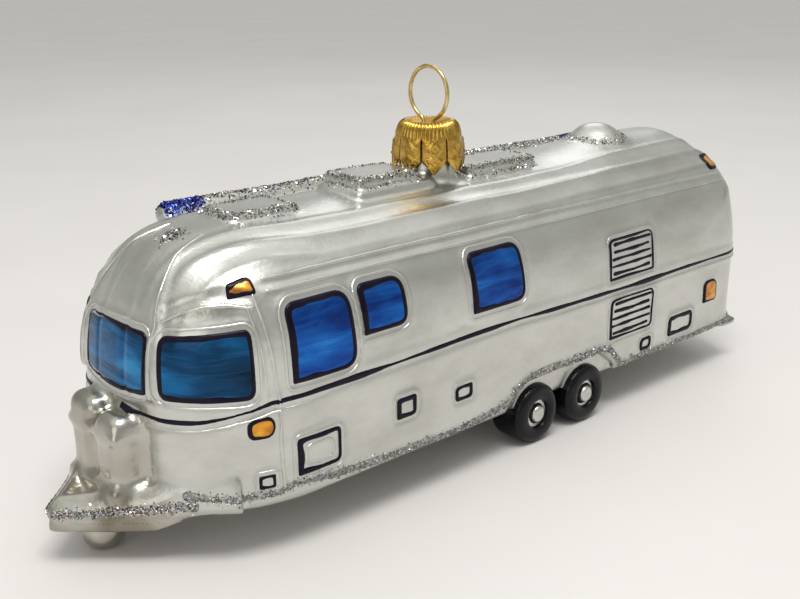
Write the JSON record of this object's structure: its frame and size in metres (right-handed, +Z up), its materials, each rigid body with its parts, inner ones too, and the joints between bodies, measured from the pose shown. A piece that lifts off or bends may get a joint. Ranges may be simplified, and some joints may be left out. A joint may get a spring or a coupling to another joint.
{
  "type": "glass christmas ornament, travel caravan",
  "caption": "Mouth-blown silvered glass tree ornament shaped as a rounded travel caravan, with painted windows, glitter lines, a crown cap and a wire hanging ring.",
  "frame": {"origin": "on the surface that the wheels and jack foot stand on, under the middle of the overall length", "axes": "+X to the caravan's hitch, +Y to its left side, +Z up"},
  "size_m": [0.1654, 0.0466, 0.0715],
  "materials": {
    "silvered_glass": "satin frosted over silvering",
    "blue_enamel": "gloss, brush-stroked",
    "black_enamel": "gloss",
    "amber_enamel": "gloss",
    "silver_glitter": "sparkling",
    "blue_glitter": "sparkling",
    "gold_cap": "polished",
    "brass_wire": "drawn"
  },
  "bodies": {
    "ornament": {"glass_body": "silvered_glass", "window_enamel_left": "blue_enamel", "window_enamel_right": "blue_enamel", "window_enamel_front": "blue_enamel", "window_enamel_rear": "blue_enamel", "outline_enamel_left": "black_enamel", "outline_enamel_right": "black_enamel", "outline_enamel_front": "black_enamel", "outline_enamel_rear": "black_enamel", "belt_line_enamel": "black_enamel", "lamp_enamel": "amber_enamel", "tyre_lacquer": "black_enamel", "skirt_glitter": "silver_glitter", "drawbar_glitter": "silver_glitter", "roof_glitter": "silver_glitter", "awning_glitter": "silver_glitter", "awning_end_glitter": "blue_glitter"},
    "cap": {"crown_cap": "gold_cap"},
    "bail": {"bail_wire": "brass_wire"}
  },
  "joints": [
    {"name": "cap_lift", "type": "slide", "parent": "ornament", "child": "cap", "axis": [0, 0, 1], "range_m": [0, 0.016]},
    {"name": "bail_swivel", "type": "hinge", "parent": "cap", "child": "bail", "pos_m": [0.0007, 0, 0.0605], "axis": [0, 0, 1], "continuous": true}
  ]
}
